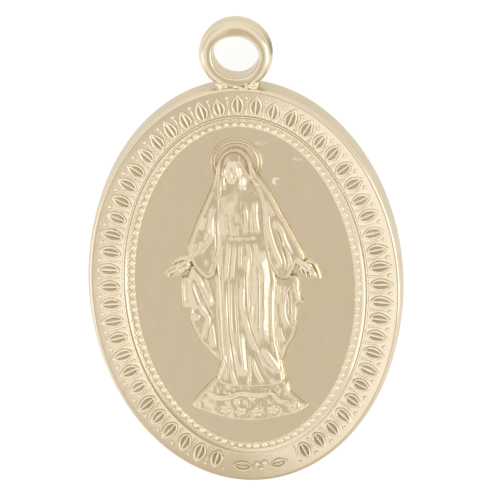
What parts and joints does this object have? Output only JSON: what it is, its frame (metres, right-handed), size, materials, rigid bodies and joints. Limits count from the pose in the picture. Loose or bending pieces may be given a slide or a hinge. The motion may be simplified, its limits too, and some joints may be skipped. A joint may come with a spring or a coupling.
{
  "type": "oval religious medal pendant",
  "caption": "Oval struck gold medal with a standing robed figure in relief inside a beaded line, a leaf border and a fixed suspension ring.",
  "frame": {"origin": "middle of the oval, on the medal's flat back", "axes": "+Z out of the medal's face, +Y from the middle of the oval towards the suspension ring, +X to the right of the face"},
  "size_m": [0.019, 0.0296, 0.0022],
  "materials": {
    "gold": "struck and polished pale yellow gold, softly worn"
  },
  "bodies": {
    "root": {"medal": "gold"}
  },
  "joints": []
}
